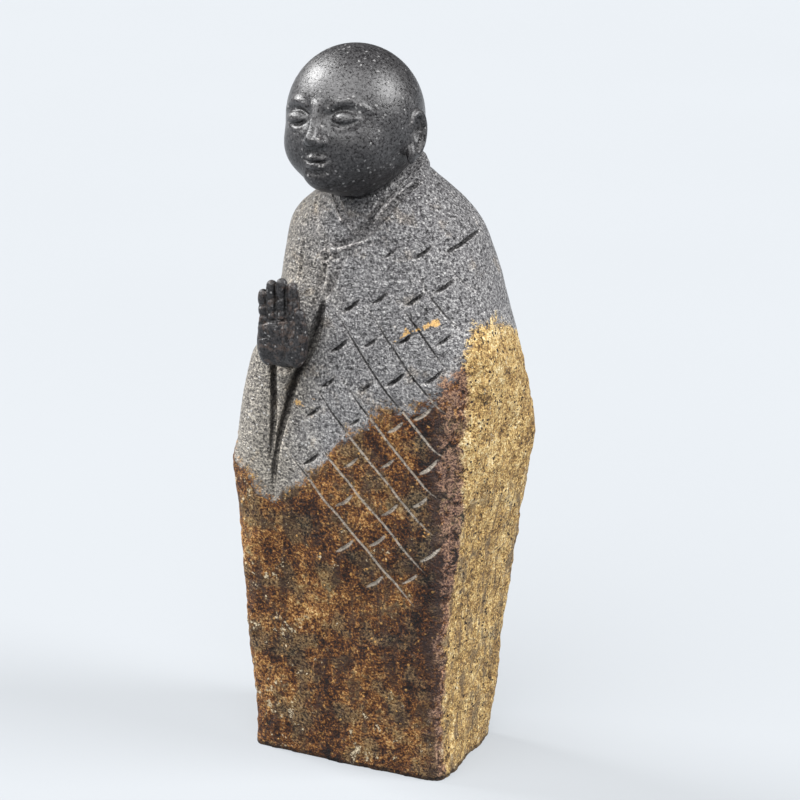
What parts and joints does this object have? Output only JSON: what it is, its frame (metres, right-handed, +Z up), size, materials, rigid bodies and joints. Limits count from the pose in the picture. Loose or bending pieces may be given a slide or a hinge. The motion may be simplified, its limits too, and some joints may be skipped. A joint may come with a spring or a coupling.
{
  "type": "stone monk statue",
  "caption": "Standing shaven-headed monk in a patched mantle with a raised open hand, carved from the top of a natural stone column.",
  "frame": {"origin": "centre of the footprint of the whole statue's box, on the flat underside", "axes": "+Z up along the column, the monk faces -Y, +X towards the monk's left"},
  "size_m": [0.0924, 0.0672, 0.25],
  "materials": {
    "stone": "rough"
  },
  "bodies": {
    "root": {"monk_statue": "stone"}
  },
  "joints": []
}
